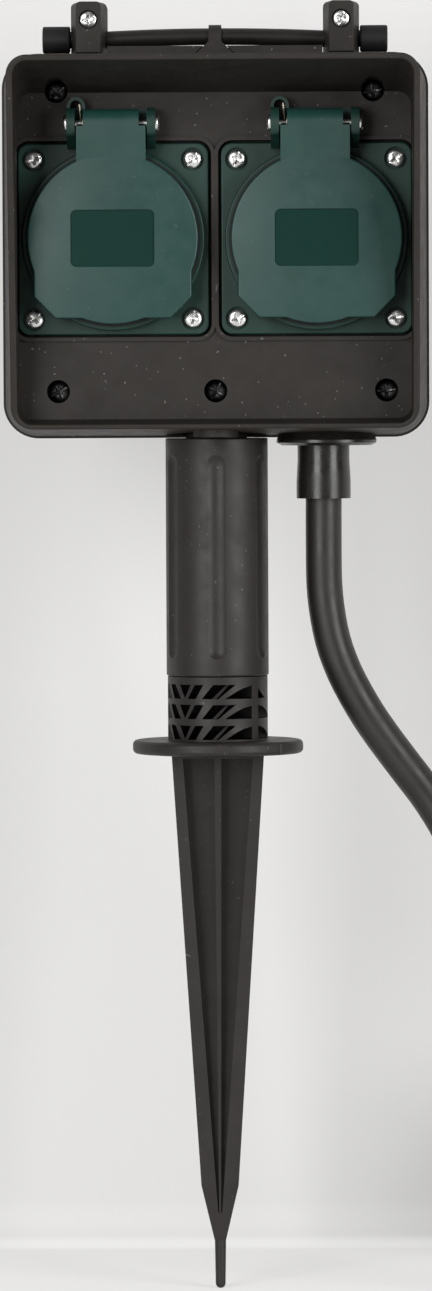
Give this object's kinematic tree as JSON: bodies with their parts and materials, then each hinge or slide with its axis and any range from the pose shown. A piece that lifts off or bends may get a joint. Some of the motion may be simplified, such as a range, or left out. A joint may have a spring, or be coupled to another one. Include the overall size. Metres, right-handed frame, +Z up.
{
  "type": "garden socket spike",
  "caption": "Splash-proof twin garden socket box on a ground spike, with sprung lids, a hood, a hanging bar, a lead, its coil and a plug.",
  "frame": {"origin": "on the spike's axis, at the underside of its depth collar: the level of the ground in use", "axes": "+X to the viewer's right, +Y away from the viewer to the flat back of the case, +Z up"},
  "size_m": [0.2751, 0.1219, 0.3356],
  "materials": {
    "case_black": "moulded black plastic with a fine satin grain",
    "spike_black": "moulded black plastic, slightly glossier on the ribs",
    "socket_green": "moulded dark green plastic, satin",
    "lid_green": "moulded dark green plastic, satin",
    "zinc_steel": "bright zinc-plated steel",
    "dark_steel": "black oxide screws and black painted bar",
    "cap_black": "black end caps",
    "seal_rubber": "black sealing rubber",
    "cable_rubber": "black rubber jacket",
    "contact_brass": "brass",
    "carrier_cream": "moulded cream plastic",
    "core_brown": "brown insulation",
    "core_blue": "blue insulation",
    "core_earth": "green and yellow insulation"
  },
  "bodies": {
    "housing": {"front_shell": "case_black", "rear_shell": "case_black", "shell_gasket": "seal_rubber", "case_screws": "dark_steel", "hanging_bar": "dark_steel", "bar_end_caps": "cap_black", "lug_clamp_left": "case_black", "lug_clamp_right": "case_black", "lug_screws": "zinc_steel", "bar_saddle": "case_black", "grip_tube": "spike_black", "ground_spike": "spike_black", "cable_gland": "cable_rubber", "cable_inside": "cable_rubber", "strain_clamp": "carrier_cream", "strain_clamp_screws": "zinc_steel", "wire_live": "core_brown", "wire_neutral": "core_blue", "wire_earth": "core_earth", "cable_lead": "cable_rubber", "cable_coil": "cable_rubber", "plug_body": "cable_rubber", "plug_pins": "zinc_steel", "plug_earth_clips": "zinc_steel", "socket_flange_left": "socket_green", "flange_gasket_left": "seal_rubber", "flange_screws_left": "zinc_steel", "hinge_pin_left": "zinc_steel", "pin_cap_left": "zinc_steel", "lid_spring_left": "zinc_steel", "contact_carrier_left": "carrier_cream", "live_contacts_left": "contact_brass", "earth_clip_left": "contact_brass", "terminal_screws_left": "zinc_steel", "socket_flange_right": "socket_green", "flange_gasket_right": "seal_rubber", "flange_screws_right": "zinc_steel", "hinge_pin_right": "zinc_steel", "pin_cap_right": "zinc_steel", "lid_spring_right": "zinc_steel", "contact_carrier_right": "carrier_cream", "live_contacts_right": "contact_brass", "earth_clip_right": "contact_brass", "terminal_screws_right": "zinc_steel"},
    "left_lid": {"lid_left": "lid_green", "lid_seal_left": "seal_rubber"},
    "right_lid": {"lid_right": "lid_green", "lid_seal_right": "seal_rubber"}
  },
  "joints": [
    {"name": "lid_left_hinge", "type": "hinge", "parent": "housing", "child": "left_lid", "pos_m": [-0.0265, -0.0195, 0.163], "axis": [-1, 0, 0], "range_deg": [0, 100], "stiffness_Nm_per_rad": 0.006, "springref_deg": -57.3},
    {"name": "lid_right_hinge", "type": "hinge", "parent": "housing", "child": "right_lid", "pos_m": [0.0259, -0.0195, 0.163], "axis": [-1, 0, 0], "range_deg": [0, 100], "stiffness_Nm_per_rad": 0.006, "springref_deg": -57.3}
  ]
}
